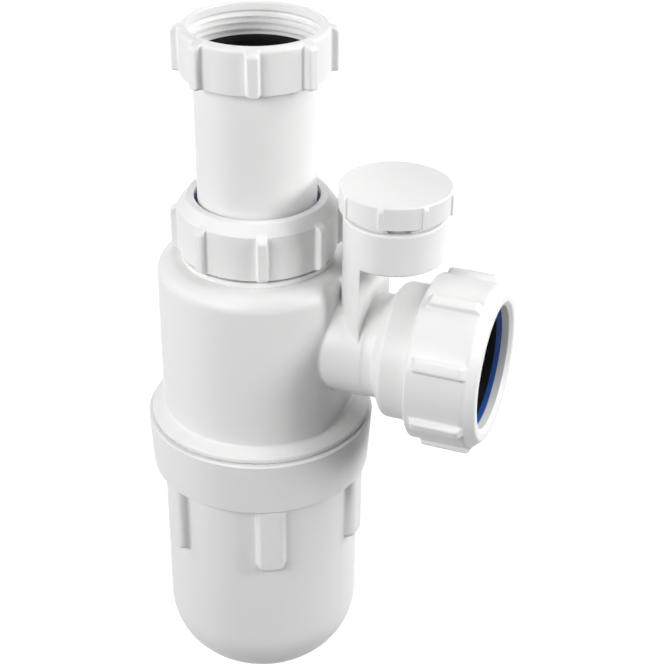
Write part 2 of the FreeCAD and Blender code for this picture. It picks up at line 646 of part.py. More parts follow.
def make_cup_seal():
    """Flat rubber washer between the skirt and the cup."""
    body = add_body("cup_seal", z="%s + %s" % (SHOULDER, SKIRT_BOTTOM))
    revolve(body, "ring", [
        ("cup_r - cup_wall", "0"),
        ("skirt_r", "0"),
        ("skirt_r", "-cup_seal_thick"),
        ("cup_r - cup_wall", "-cup_seal_thick"),
    ])


def make_outlet_nut():
    """Large compression nut on the socket."""
    body = add_body("outlet_nut", x="mouth_x", z=OUTLET_Z, turn="outlet_nut_turn", axis=(1, 0, 0))
    revolve(body, "shell", [
        ("0", "outlet_mouth_r + outlet_mouth_slope"),
        ("0", "outlet_face_r"),
        ("-outlet_chamfer", "outlet_nut_r"),
        ("-outlet_nut_length", "outlet_nut_r"),
        ("-outlet_nut_length", "socket_thread_r + slide_gap"),
        ("-outlet_lip", "socket_thread_r + slide_gap"),
        ("-outlet_lip", "outlet_mouth_r"),
        ("-outlet_mouth_slope", "outlet_mouth_r"),
    ], axis="H_Axis")
    grip_ribs(body, "rib", [
        ("-outlet_chamfer", "outlet_nut_r - rib_root"),
        ("-outlet_chamfer", "outlet_nut_r"),
        ("-outlet_chamfer - rib_root", "outlet_rib_r"),
        ("-outlet_chamfer - outlet_rib_length", "outlet_rib_r"),
        ("-outlet_chamfer - outlet_rib_length", "outlet_nut_r - rib_root"),
    ], "outlet_rib_width", "nut_ribs", axis="X_Axis")


def make_outlet_slip_ring():
    """Thin plastic ring behind the outlet nut's lip."""
    body = add_body("outlet_slip_ring", x="mouth_x - outlet_lip", z=OUTLET_Z)
    revolve(body, "ring", [
        ("0", "outlet_ring_bore_r"),
        ("0", "socket_thread_r"),
        ("-outlet_ring_thick", "socket_thread_r"),
        ("-outlet_ring_thick", "outlet_ring_bore_r"),
    ], axis="H_Axis")


def make_outlet_seal():
    """Rubber seal between the slip ring and the socket."""
    body = add_body("outlet_seal", x="mouth_x - outlet_lip - outlet_ring_thick", z=OUTLET_Z)
    revolve(body, "ring", [
        ("0", "outlet_seal_bore_r"),
        ("0", "socket_thread_r"),
        ("-outlet_seal_thick + seal_taper", "socket_thread_r"),
        ("-outlet_seal_thick", "socket_thread_r - seal_taper"),
        ("-outlet_seal_thick", "outlet_seal_bore_r"),
    ], axis="H_Axis")


def make_valve_cap():
    """Screw cap of the air valve, with small grip ribs."""
    body = add_body("valve_cap", x="valve_x", z="%s + %s + cap_gap" % (SHOULDER, HOUSING_TOP),
                    turn="cap_turn")
    step = "valve_neck_height - cap_gap + gasket_thick"
    revolve(body, "shell", [
        ("0", "cap_height"),
        ("cap_r - edge_round", "cap_height"),
        ("cap_r", "cap_height - edge_round"),
        ("cap_r", "0"),
        ("valve_neck_r + slide_gap", "0"),
        ("valve_neck_r + slide_gap", step),
        ("cap_recess_r", step),
        ("cap_recess_r", "cap_height - cap_roof"),
        ("0", "cap_height - cap_roof"),
    ])
    grip_ribs(body, "rib", [
        ("cap_r - rib_root", "cap_height - edge_round"),
        ("cap_r", "cap_height - edge_round"),
        ("cap_rib_r", "cap_height - edge_round * 2"),
        ("cap_rib_r", "0"),
        ("cap_r - rib_root", "0"),
    ], "cap_rib_width", "nut_ribs")


def make_valve_gasket():
    """Rubber ring between the cap and the housing's neck."""
    body = add_body("valve_gasket", x="valve_x", z="%s + %s" % (SHOULDER, VALVE_NECK_TOP))
    revolve(body, "ring", [
        ("valve_bore_r", "0"),
        ("valve_neck_r", "0"),
        ("valve_neck_r", "gasket_thick"),
        ("valve_bore_r", "gasket_thick"),
    ])


def make_valve_seat():
    """Insert with an inner and an outer rim, air windows and a guide on spokes."""
    body = add_body("valve_seat", x="valve_x", z="%s + %s" % (SHOULDER, VALVE_LEDGE), turn="vent_turn")
    rim = "valve_bore_r - slide_gap"
    revolve(body, "rims", [
        ("seat_tube_bore_r", "0"),
        (rim, "0"),
        (rim, SEAT_TOP),
        (rim + " - seat_rim_wall", SEAT_TOP),
        (rim + " - seat_rim_wall", "seat_web"),
        ("seat_tube_r", "seat_web"),
        ("seat_tube_r", SEAT_TOP),
        ("seat_tube_bore_r", SEAT_TOP),
    ])
    sketch = add_sketch(body, "window_outline", plane="YZ_Plane", out="seat_tube_r + seat_rim_wall")
    add_polygon(sketch, [
        ("-vent_width * 0.5", "valve_ledge_drop"),
        ("vent_width * 0.5", "valve_ledge_drop"),
        ("vent_width * 0.5", "valve_ledge_drop + vent_height"),
        ("-vent_width * 0.5", "valve_ledge_drop + vent_height"),
    ])
    window = extrude(body, "window", sketch, "valve_bore_r", cut=True, reverse=True)
    repeat(body, "windows", window, "vents")
    sketch = add_sketch(body, "spoke_outline", plane="YZ_Plane", out="guide_bore_r + 0.3")
    add_polygon(sketch, [
        ("-spoke_width * 0.5", "0"),
        ("spoke_width * 0.5", "0"),
        ("spoke_width * 0.5", "seat_web"),
        ("-spoke_width * 0.5", "seat_web"),
    ])
    spoke = extrude(body, "spoke", sketch, "seat_tube_bore_r - guide_bore_r")
    repeat(body, "spokes", spoke, "spokes")
    revolve(body, "guide", [
        ("guide_bore_r", "0"),
        ("guide_r", "0"),
        ("guide_r", "seat_web * 2"),
        ("guide_bore_r", "seat_web * 2"),
    ])


def make_valve_diaphragm():
    """Rubber ring on three spokes, with a pin that slides in the seat's guide."""
    place = "%s + %s + %s" % (SHOULDER, VALVE_LEDGE, SEAT_TOP)
    body = add_body("valve_diaphragm", x="valve_x", z=place)
    revolve(body, "ring", [
        ("diaphragm_bore_r", "0"),
        ("valve_bore_r - slide_gap * 2", "0"),
        ("valve_bore_r - slide_gap * 2", "diaphragm_thick"),
        ("diaphragm_bore_r", "diaphragm_thick"),
    ])
    sketch = add_sketch(body, "spoke_outline", plane="YZ_Plane")
    add_polygon(sketch, [
        ("-spoke_width * 0.5", "0"),
        ("spoke_width * 0.5", "0"),
        ("spoke_width * 0.5", "diaphragm_thick"),
        ("-spoke_width * 0.5", "diaphragm_thick"),
    ])
    spoke = extrude(body, "spoke", sketch, "diaphragm_bore_r + 0.5")
    repeat(body, "spokes", spoke, "spokes")
    revolve(body, "pin", [
        ("0", "-pin_length"),
        ("pin_r", "-pin_length"),
        ("pin_r", "diaphragm_thick"),
        ("0", "diaphragm_thick"),
    ])


make_inlet_nut()
make_inlet_tube()
make_inlet_washer()
make_body_nut()
make_body_slip_ring()
make_body_seal()
make_trap_body()
make_cup()
make_cup_seal()
make_outlet_nut()
make_outlet_slip_ring()
make_outlet_seal()
make_valve_cap()
make_valve_gasket()
make_valve_seat()
make_valve_diaphragm()
doc.recompute()

for item in doc.Objects:
    if "Invalid" in item.State or "Error" in item.State:
        raise RuntimeError("%s failed: %s" % (item.Label, item.State))

pieces = [item for item in doc.Objects if item.TypeId == "PartDesign::Body"]
for piece in pieces:
    if piece.Shape.isNull() or not piece.Shape.isValid() or len(piece.Shape.Solids) != 1:
        raise RuntimeError("%s is not one valid solid" % piece.Label)

os.makedirs("parts", exist_ok=True)
for piece in pieces:
    piece.Shape.exportStep("parts/%s.step" % piece.Label)
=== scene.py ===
import math
import bpy
import numpy as np
from mathutils import Matrix, Vector


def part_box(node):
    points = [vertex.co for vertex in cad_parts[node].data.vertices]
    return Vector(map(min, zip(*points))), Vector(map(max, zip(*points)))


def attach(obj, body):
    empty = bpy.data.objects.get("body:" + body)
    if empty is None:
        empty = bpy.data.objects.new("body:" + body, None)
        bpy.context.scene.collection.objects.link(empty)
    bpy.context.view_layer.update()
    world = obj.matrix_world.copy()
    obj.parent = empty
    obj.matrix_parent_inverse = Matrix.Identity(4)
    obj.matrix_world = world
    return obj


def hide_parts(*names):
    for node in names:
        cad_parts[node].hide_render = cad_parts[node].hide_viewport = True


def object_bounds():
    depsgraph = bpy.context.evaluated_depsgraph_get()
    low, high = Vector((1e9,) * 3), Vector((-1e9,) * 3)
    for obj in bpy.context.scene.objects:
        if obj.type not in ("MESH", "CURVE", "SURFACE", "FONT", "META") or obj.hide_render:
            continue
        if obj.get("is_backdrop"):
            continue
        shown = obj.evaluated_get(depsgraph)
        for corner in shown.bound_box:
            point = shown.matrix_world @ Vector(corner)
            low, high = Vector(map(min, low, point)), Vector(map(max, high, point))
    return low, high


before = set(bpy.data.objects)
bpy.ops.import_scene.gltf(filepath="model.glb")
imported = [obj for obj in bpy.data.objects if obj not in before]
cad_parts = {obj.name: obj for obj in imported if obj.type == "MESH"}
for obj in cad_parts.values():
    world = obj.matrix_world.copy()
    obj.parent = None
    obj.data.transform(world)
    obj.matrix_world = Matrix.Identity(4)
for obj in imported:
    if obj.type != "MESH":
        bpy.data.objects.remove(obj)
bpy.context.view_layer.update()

# The bottle trap's visible pieces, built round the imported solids.
# All shapes are worked out in millimetres and turned into metres at the end.
# The inlet's axis is z, and the outlet runs along x.
MM = 0.001


def box(node):
    """A node's lowest and highest corners in millimetres."""
    low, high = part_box(node)
    return np.array(low) / MM, np.array(high) / MM


# Places shared with the solids, in millimetres
X, Z = 0, 2
VALVE_X = 51.3          # the valve's axis, from the inlet's
NUT_ABOVE = 23.8        # the body nut's top above the shoulder
BRANCH_BELOW = 28.3     # the outlet's axis below the shoulder
MOUTH = box("inlet_nut")[1][Z]
BODY_NUT_TOP = box("body_nut")[1][Z]
SHOULDER = BODY_NUT_TOP - NUT_ABOVE
CUP_TOP = box("cup")[1][Z]
CAP_BOTTOM = box("valve_cap")[0][Z]
NUT_FACE = box("outlet_nut")[1][X]
OUTLET_Z = SHOULDER - BRANCH_BELOW

# Each node's material slot and the body that carries it
NODES = {
    "inlet_nut": ("nut_plastic", "inlet_nut"),
    "inlet_tube": ("tube_plastic", "inlet_tube"),
    "inlet_washer": ("seal_rubber", "inlet_tube"),
    "body_nut": ("nut_plastic", "body_nut"),
    "body_slip_ring": ("ring_plastic", "body_rings"),
    "body_seal": ("seal_rubber", "body_rings"),
    "trap_body": ("body_plastic", "trap_body"),
    "cup": ("cup_plastic", "cup"),
    "cup_seal": ("seal_rubber", "cup_seal"),
    "outlet_nut": ("nut_plastic", "outlet_nut"),
    "outlet_slip_ring": ("ring_plastic", "outlet_rings"),
    "outlet_seal": ("seal_rubber", "outlet_rings"),
    "valve_cap": ("cap_plastic", "valve_cap"),
    "valve_gasket": ("seal_rubber", "valve_gasket"),
}

# Nodes whose own solids are shown, with a material laid over them
CARRIED = {"valve_seat": "seat_plastic", "valve_diaphragm": "seal_rubber"}


# Materials. Noise scales are per metre, and bump heights are in metres.

PLASTIC_IOR = 1.49
TINT = 0.985                                       # the darker clouds' share of the colour
CLOUD_SCALE, CLOUD_DETAIL = 55.0, 2.0
PATCH_SCALE, PATCH_DETAIL = 120.0, 3.0
SMOOTHER, ROUGHER = 0.015, 0.02                    # how far the patches change the roughness
SINK_SCALE, SINK_DETAIL, SINK_STRENGTH, SINK_HEIGHT = 70.0, 1.0, 0.012, 0.0006
GRAIN_SCALE, GRAIN_DETAIL, GRAIN_STRENGTH, GRAIN_HEIGHT = 2600.0, 2.0, 0.01, 0.0002

RUBBER_ROUGHNESS, RUBBER_SPECULAR = 0.80, 0.12
DUST_SCALE, DUST_DETAIL, DUST_SHARE, DUST_BRIGHTER = 240.0, 4.0, 0.6, 1.9
PORE_SCALE, PORE_DETAIL, PORE_STRENGTH, PORE_HEIGHT = 1500.0, 3.0, 0.25, 0.0002


def new_material(name, colour, roughness):
    """A Principled material with its node tree, shader and position input."""
    material = bpy.data.materials.new(name)
    material.use_nodes = True
    tree = material.node_tree
    shader = tree.nodes["Principled BSDF"]
    shader.inputs["Base Color"].default_value = (*colour, 1.0)
    shader.inputs["Roughness"].default_value = roughness
    place = tree.nodes.new("ShaderNodeTexCoord").outputs["Object"]
    return material, tree, shader, place


def noise(tree, place, scale, detail):
    node = tree.nodes.new("ShaderNodeTexNoise")
    node.inputs["Scale"].default_value = scale
    node.inputs["Detail"].default_value = detail
    tree.links.new(place, node.inputs["Vector"])
    return node.outputs["Fac"]


def bump(tree, height, strength, distance, below=None):
    """A bump from a height, on top of another bump if one is given."""
    node = tree.nodes.new("ShaderNodeBump")
    node.inputs["Strength"].default_value = strength
    node.inputs["Distance"].default_value = distance
    tree.links.new(height, node.inputs["Height"])
    if below is not None:
        tree.links.new(below, node.inputs["Normal"])
    return node.outputs["Normal"]


def span(tree, value, low, high):
    """Maps the middle of a noise's range onto another range."""
    node = tree.nodes.new("ShaderNodeMapRange")
    node.inputs["From Min"].default_value = 0.3
    node.inputs["From Max"].default_value = 0.7
    node.inputs["To Min"].default_value = low
    node.inputs["To Max"].default_value = high
    tree.links.new(value, node.inputs["Value"])
    return node.outputs["Result"]


def mix_colour(tree, factor, first, second):
    node = tree.nodes.new("ShaderNodeMix")
    node.data_type = "RGBA"
    node.inputs["A"].default_value = (*first, 1.0)
    node.inputs["B"].default_value = (*second, 1.0)
    tree.links.new(factor, node.inputs["Factor"])
    return node.outputs["Result"]


def moulded_plastic(name, colour, roughness):
    """Injection-moulded polypropylene: near-even colour, faint sink marks, fine grain."""
    material, tree, shader, place = new_material(name, colour, roughness)
    shader.inputs["IOR"].default_value = PLASTIC_IOR
    tint = tuple(channel * TINT for channel in colour)
    cloud = noise(tree, place, CLOUD_SCALE, CLOUD_DETAIL)
    tree.links.new(mix_colour(tree, cloud, colour, tint), shader.inputs["Base Color"])
    patches = noise(tree, place, PATCH_SCALE, PATCH_DETAIL)
    patches = span(tree, patches, roughness - SMOOTHER, roughness + ROUGHER)
    tree.links.new(patches, shader.inputs["Roughness"])
    sinks = noise(tree, place, SINK_SCALE, SINK_DETAIL)
    sinks = bump(tree, sinks, SINK_STRENGTH, SINK_HEIGHT)
    grain = noise(tree, place, GRAIN_SCALE, GRAIN_DETAIL)
    grain = bump(tree, grain, GRAIN_STRENGTH, GRAIN_HEIGHT, sinks)
    tree.links.new(grain, shader.inputs["Normal"])
    return material


def rubber(name, colour):
    """Matt black rubber with a little dust and fine pores."""
    material, tree, shader, place = new_material(name, colour, RUBBER_ROUGHNESS)
    shader.inputs["Specular IOR Level"].default_value = RUBBER_SPECULAR
    dust = span(tree, noise(tree, place, DUST_SCALE, DUST_DETAIL), 0.0, DUST_SHARE)
    pale = tuple(channel * DUST_BRIGHTER for channel in colour)
    tree.links.new(mix_colour(tree, dust, colour, pale), shader.inputs["Base Color"])
    pores = noise(tree, place, PORE_SCALE, PORE_DETAIL)
    tree.links.new(bump(tree, pores, PORE_STRENGTH, PORE_HEIGHT), shader.inputs["Normal"])
    return material


WHITE = (0.86, 0.86, 0.855)
LOOKS = {
    "nut_plastic": moulded_plastic("nut_white", WHITE, 0.42),
    "tube_plastic": moulded_plastic("tube_white", WHITE, 0.40),
    "body_plastic": moulded_plastic("body_white", WHITE, 0.42),
    "cup_plastic": moulded_plastic("cup_white", WHITE, 0.42),
    "cap_plastic": moulded_plastic("cap_white", WHITE, 0.46),
    "seat_plastic": moulded_plastic("seat_white", (0.80, 0.80, 0.79), 0.38),
    "ring_plastic": moulded_plastic("ring_blue", (0.014, 0.080, 0.34), 0.35),
    "seal_rubber": rubber("seal_black", (0.0045, 0.0045, 0.0055)),
}


# Mesh helpers

ROUND_STEPS = 160       # points round a turned piece without ribs
ARC_STEP = 0.9          # the longest step on a rounded corner


def face_slopes(verts, faces):
    """The faces' normals, as long as twice their area."""
    corners = verts[faces]
    return np.cross(corners[:, 2] - corners[:, 0], corners[:, 3] - corners[:, 1])


def outward(verts, faces):
    """The faces of a closed piece, all turned to point outwards.

    A triangle is a row whose last two points are the same."""
    middles = (verts[faces] - verts.mean(axis=0)).mean(axis=1)
    if (middles * face_slopes(verts, faces)).sum() >= 0:
        return faces
    return np.where(faces[:, 2:3] == faces[:, 3:4], faces[:, [0, 2, 1, 1]], faces[:, ::-1])


def add_piece(name, verts, faces, node, normals=None):
    """A shaded mesh in metres that stands for a node and rides on its body."""
    slot, body = NODES[node]
    if normals is None:
        slopes = face_slopes(verts, faces)
        normals = np.zeros_like(verts)
        for k in range(4):
            np.add.at(normals, faces[:, k], slopes)
    length = np.linalg.norm(normals, axis=1, keepdims=True)
    normals = normals / np.where(length > 0, length, 1.0)
    mesh = bpy.data.meshes.new(name)
    rows = [tuple(row[:3]) if row[2] == row[3] else tuple(row) for row in faces.tolist()]
    mesh.from_pydata((verts * MM).tolist(), [], rows)
    mesh.shade_smooth()
    mesh.normals_split_custom_set_from_vertices(normals.tolist())
    piece = bpy.data.objects.new(name, mesh)
    bpy.context.collection.objects.link(piece)
    mesh.materials.append(LOOKS[slot])
    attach(piece, body)
    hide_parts(node)


def corner_arc(here, before, after, radius, least_steps):
    """The points of a rounded corner between two straight runs."""
    a = (before - here) / np.linalg.norm(before - here)
    b = (after - here) / np.linalg.norm(after - here)
    half = 0.5 * math.acos(max(-1.0, min(1.0, float(a @ b))))
    reach = radius / math.tan(half)
    middle = here + (a + b) / np.linalg.norm(a + b) * radius / math.sin(half)
    start = here + a * reach - middle
    end = here + b * reach - middle
    turn = math.atan2(start[0] * end[1] - start[1] * end[0], float(start @ end))
    steps = max(least_steps, int(abs(turn) * radius / ARC_STEP))
    return [middle + np.array([start[0] * math.cos(t) - start[1] * math.sin(t),
                               start[0] * math.sin(t) + start[1] * math.cos(t)])
            for t in np.linspace(0, turn, steps + 1)]


def rounded(corners, closed=True, least_steps=5):
    """A profile of (r, z) points from corners given as (r, z, rounding, step).

    The step is the longest piece of the run that starts at that corner."""
    count = len(corners)
    spots = np.array([corner[:2] for corner in corners], dtype=float)
    arcs = []
    for i, (_, _, radius, _) in enumerate(corners):
        if radius > 0 and (closed or 0 < i < count - 1):
            after = spots[(i + 1) % count]
            arcs.append(corner_arc(spots[i], spots[i - 1], after, radius, least_steps))
        else:
            arcs.append([spots[i]])
    points = []
    for i, arc in enumerate(arcs):
        points.extend(arc)
        if not closed and i == count - 1:
            break
        first, last = arc[-1], arcs[(i + 1) % count][0]
        run = np.linalg.norm(last - first)
        parts = max(1, int(math.ceil(run / corners[i][3])))
        points.extend(first + (last - first) * k / parts for k in range(1, parts))
        if run < 1e-6:
            points.pop()
    return np.array(points)


def grid_faces(rows, columns, closed):
    """Quads over a grid of rows that wraps along its columns."""
    last = rows if closed else rows - 1
    i, j = np.meshgrid(np.arange(last), np.arange(columns), indexing="ij")
    i, j = i.ravel(), j.ravel()
    up, side = (i + 1) % rows, (j + 1) % columns
    return np.stack([i * columns + j, i * columns + side,
                     up * columns + side, up * columns + j], 1)


def even_angles(count):
    return np.arange(count) * 2 * math.pi / count


class Ribs:
    """Grip ribs on a turned piece, with rounded edges and a small fillet at the root.

    The outline gives their outer radius by height. They stand only on the profile's points
    beyond least_r. Where a corner is given, it rounds their two lower corners at the foot."""

    DRAFT = 0.12        # how far the fillet starts outside the rounded edge
    BETWEEN = 7         # steps from one rib to the next

    def __init__(self, count, first, width, wall_r, top_r, outline, least_r, edge, root,
                 foot=0.0, corner=0.0):
        outline = np.array(outline, dtype=float)
        self.outline = outline[np.argsort(outline[:, 0])]
        self.least_r, self.top_r, self.foot, self.corner = least_r, top_r, foot, corner
        height = top_r - wall_r
        half = width / 2
        bend = np.linspace(0, math.pi / 2, 5)
        offsets = list(half - edge + edge * np.sin(bend))
        levels = list(height - edge + edge * np.cos(bend))
        offsets += list(half + self.DRAFT + root - root * np.cos(bend))
        levels += list(root - root * np.sin(bend))
        self.offsets = np.array(offsets) / top_r
        self.levels = np.array(levels) / height
        self.centres = math.radians(first) + even_angles(count)
        across_top = 15 if corner else 5
        gap = 2 * math.pi / count - 2 * self.offsets[-1]
        angles = []
        for centre in self.centres:
            angles += list(centre + self.offsets) + list(centre - self.offsets)
            angles += list(centre + np.linspace(-1, 1, across_top)[1:-1] * self.offsets[0])
            shares = np.arange(1, self.BETWEEN) / self.BETWEEN
            angles += list(centre + self.offsets[-1] + gap * shares)
        self.angles = np.sort(np.mod(angles, 2 * math.pi))

    def __call__(self, theta, r, z):
        away = np.mod(theta[None, :] - self.centres[:, None] + math.pi, 2 * math.pi) - math.pi
        nearest = np.abs(away).min(axis=0)
        nearest = np.repeat(nearest[None, :], len(z), axis=0)
        if self.corner:
            short = np.clip(self.corner - (z - self.foot), 0, self.corner)
            inset = self.corner - np.sqrt(self.corner ** 2 - short ** 2)
            nearest = nearest + inset[:, None] / self.top_r
        share = np.interp(nearest, self.offsets, self.levels, left=1.0, right=0.0)
        reach = np.interp(z, self.outline[:, 0], self.outline[:, 1], left=0, right=0)
        extra = np.where(r > self.least_r, np.maximum(reach - r, 0), 0)
        return extra[:, None] * share


class Thread:
    """A helical ridge between two levels, on the profile's points at one radius."""

    CREST, FLANK = 1.55, 4.4        # the ridge's width at its top and its sides' steepness
    NEAR = 0.05                     # how near a point's radius has to be

    def __init__(self, low, high, pitch, depth, wall_r, inside=False):
        self.low, self.high, self.pitch, self.wall_r = low, high, pitch, wall_r
        self.depth = -depth if inside else depth

    def __call__(self, theta, r, z):
        rise = self.pitch * theta[None, :] / (2 * math.pi)
        phase = np.mod((z[:, None] - rise) / self.pitch, 1.0)
        ridge = np.clip(self.CREST - self.FLANK * np.abs(phase - 0.5), 0.0, 1.0)
        ridge = ridge * ridge * (3 - 2 * ridge)
        fade = np.minimum(z - self.low, self.high - z) / (self.pitch * 0.5)
        fade = np.clip(fade, 0.0, 1.0)
        fade = np.where(np.abs(r - self.wall_r) < self.NEAR, fade, 0.0)
        return self.depth * ridge * fade[:, None]


def lathe(node, profile, name=None, ribs=None, thread=None, poles=False, axis="z",
          origin=(0.0, 0.0, 0.0)):
    """Turns a profile of (r, z) round an axis, with ribs or a thread added to its radius.

    With poles, the profile's first and last points are on the axis."""
    theta = even_angles(ROUND_STEPS) if ribs is None else ribs.angles
    columns = len(theta)
    ring = profile[1:-1] if poles else profile
    r, z = ring[:, 0], ring[:, 1]
    radius = np.repeat(r[:, None], columns, axis=1)
    for shape in (ribs, thread):
        if shape is not None:
            radius = radius + shape(theta, r, z)
    height = np.repeat(z[:, None], columns, axis=1)
    verts = np.stack([radius * np.cos(theta), radius * np.sin(theta), height], 2)
    verts = verts.reshape(-1, 3)
    faces = grid_faces(len(ring), columns, not poles)
    if poles:
        first, last = len(verts), len(verts) + 1
        verts = np.vstack([verts, [[0, 0, profile[0][1]], [0, 0, profile[-1][1]]]])
        here = np.arange(columns)
        side = (here + 1) % columns
        base = (len(ring) - 1) * columns
        start = np.stack([np.full(columns, first), side, here, here], 1)
        end = np.stack([np.full(columns, last), base + here, base + side, base + side], 1)
        faces = np.vstack([faces, start, end])
    if axis == "x":
        verts = np.stack([verts[:, 2], -verts[:, 1], verts[:, 0]], 1)
    verts = verts + np.array(origin)
    add_piece(name or node + "_moulding", verts, outward(verts, faces), node)


def plain_ring(node, inner, outer, rounding, origin=(0.0, 0.0, 0.0)):
    """A ring with a rectangular section, as high as its node."""
    low, high = box(node)
    lathe(node, rounded([
        (inner, low[Z], rounding, 2), (outer, low[Z], rounding, 2),
        (outer, high[Z], rounding, 2), (inner, high[Z], rounding, 2),
    ]), origin=origin)


# Inlet nut, tube and washer

NUT_FOOT = -16.3        # below the mouth
NUT_BORE = 23.6         # where the thread stands
FLANGE_R = 22.12
lathe("inlet_nut", rounded([
    (22.5, 0, 0.5, 2), (25.5, 0, 1.9, 0.3), (25.5, NUT_FOOT, 0.35, 2),
    (21.5, NUT_FOOT, 0.3, 2), (21.5, NUT_FOOT + 2.0, 0.2, 2),
    (NUT_BORE, NUT_FOOT + 2.0, 0, 0.16), (NUT_BORE, -3.8, 0.3, 0.4), (22.5, -2.9, 0.4, 1),
], least_steps=7),
    ribs=Ribs(8, 21.7, 4.2, 25.5, 28.2, [
        (NUT_FOOT, 27.7), (NUT_FOOT + 0.5, 28.2), (-2.6, 28.2), (-1.7, 27.9), (-1.1, 27.3),
        (-0.75, 26.4), (-0.6, 25.2), (-0.55, 24.0),
    ], least_r=NUT_BORE, edge=0.9, root=0.9, foot=NUT_FOOT, corner=1.3),
    thread=Thread(NUT_FOOT + 2.5, -3.8, 2.309, 1.1, NUT_BORE, inside=True),
    origin=(0, 0, MOUTH))

TUBE_TOP = box("inlet_tube")[1][Z]
TUBE_LENGTH = TUBE_TOP - box("inlet_tube")[0][Z]
lathe("inlet_tube", rounded([
    (19.1, 0, 0.3, 2), (FLANGE_R, 0, 0.3, 2), (FLANGE_R, -1.5, 0.2, 2), (21.2, -1.5, 0.2, 8),
    (21.2, -TUBE_LENGTH, 0.6, 2), (19.1, -TUBE_LENGTH, 0.3, 8),
]), origin=(0, 0, TUBE_TOP))

SPIGOT = 2.4            # how far the washer reaches down into the tube
low, high = box("inlet_washer")
lathe("inlet_washer", rounded([
    (17.8, low[Z] - SPIGOT, 0.2, 2), (18.9, low[Z] - SPIGOT, 0.2, 2), (18.9, low[Z], 0.1, 2),
    (FLANGE_R, low[Z], 0.1, 2), (FLANGE_R, high[Z], 0.4, 2), (18.6, high[Z], 0.4, 2),
    (17.8, high[Z] - 0.7, 0.2, 2),
]))


# Body nut with its ring and seal

BODY_NUT_BORE = 26.9
lathe("body_nut", rounded([
    (22.4, 0, 0.3, 2), (25.2, 0, 0.8, 1), (28.3, -4.0, 0.4, 0.7), (28.3, -20.6, 0.35, 2),
    (BODY_NUT_BORE, -20.6, 0.2, 2), (BODY_NUT_BORE, -3.4, 0, 0.3), (26.6, -2.4, 0.2, 2),
    (22.4, -2.4, 0.3, 2),
]),
    ribs=Ribs(8, 26.1, 3.5, 28.3, 30.9, [
        (-20.6, 28.6), (-20.3, 29.7), (-19.8, 30.5), (-19.1, 30.9), (-5.6, 30.9),
        (-4.9, 30.6), (-4.3, 29.9), (-3.9, 28.9), (-3.7, 27.4),
    ], least_r=27.2, edge=0.7, root=0.8),
    thread=Thread(-20.4, -6.5, 4.0, 1.2, BODY_NUT_BORE, inside=True),
    origin=(0, 0, BODY_NUT_TOP))

plain_ring("body_slip_ring", 21.5, 25.3, 0.15)
low, high = box("body_seal")
lathe("body_seal", rounded([
    (21.5, low[Z], 0.2, 2), (23.9, low[Z], 0.2, 2), (25.3, low[Z] + 1.4, 0.2, 2),
    (25.3, high[Z], 0.2, 2), (21.5, high[Z], 0.2, 2),
]))


# Cup and its washer

CUP_R, CUP_BORE = 37.4, 40.6
lathe("cup", rounded([
    (0, -110.9, 0, 3), (35.0, -110.9, 23.6, 4), (35.0, -19.0, 0.3, 2),
    (CUP_BORE, -19.0, 0, 0.3), (CUP_BORE, -1.2, 0.2, 1), (39.3, 0, 0.3, 2),
    (42.6, 0, 0.6, 4), (41.4, -21.8, 1.0, 1), (CUP_R, -21.8, 0.7, 0.6),
    (CUP_R, -113.3, 26.0, 3), (0, -113.3, 0, 3),
], closed=False),
    ribs=Ribs(6, -2.0, 10.7, CUP_R, 41.0, [
        (-50.45, 37.2), (-50.3, 38.9), (-49.9, 39.9), (-49.3, 40.5), (-48.3, 41.0),
        (-20.6, 41.0),
    ], least_r=36.9, edge=2.4, root=1.2, foot=-50.3, corner=3.4),
    thread=Thread(-19.0, -0.9, 5.0, 1.35, CUP_BORE, inside=True),
    poles=True, origin=(0, 0, CUP_TOP))
plain_ring("cup_seal", 35.0, 38.9, 0.3)


# Outlet nut with its ring and seal, turned about the outlet's axis

OUTLET_BORE = 28.6
RING_OUTER, RING_INNER = 26.9, 22.0
RING_STEP_R = 23.3
LIP_R, LIP_DEPTH = 22.6, 0.7        # the ring's inner lip, which reaches into the seal
lathe("outlet_nut", rounded([
    (22.3, -1.4, 0.3, 2), (23.8, 0, 1.2, 1), (26.5, 0, 1.5, 1), (29.9, -3.8, 2.4, 0.8),
    (29.9, -25.1, 0.9, 2), (OUTLET_BORE, -25.1, 0.2, 2), (OUTLET_BORE, -4.6, 0, 0.3),
    (28.3, -3.6, 0.2, 2), (23.1, -3.6, 0.1, 2), (23.1, -4.0, 0.1, 2), (22.3, -4.0, 0.15, 2),
]),
    ribs=Ribs(8, 21.5, 4.6, 29.9, 32.3, [
        (-22.3, 29.9), (-22.2, 31.7), (-21.7, 32.3), (-5.4, 32.3), (-4.8, 31.9),
        (-3.6, 29.8),
    ], least_r=28.9, edge=1.0, root=1.1),
    thread=Thread(-25.0, -8.5, 4.0, 1.3, OUTLET_BORE, inside=True),
    axis="x", origin=(NUT_FACE, 0, OUTLET_Z))

low, high = box("outlet_slip_ring")
lathe("outlet_slip_ring", rounded([
    (RING_INNER, low[X] - LIP_DEPTH, 0.1, 2), (LIP_R, low[X] - LIP_DEPTH, 0.1, 2),
    (LIP_R, low[X], 0, 2), (RING_OUTER, low[X], 0.1, 2), (RING_OUTER, high[X], 0.1, 2),
    (RING_STEP_R, high[X], 0.1, 2), (RING_STEP_R, high[X] - 0.45, 0.1, 2),
    (RING_INNER, high[X] - 0.45, 0.15, 2),
]), axis="x", origin=(0, 0, OUTLET_Z))

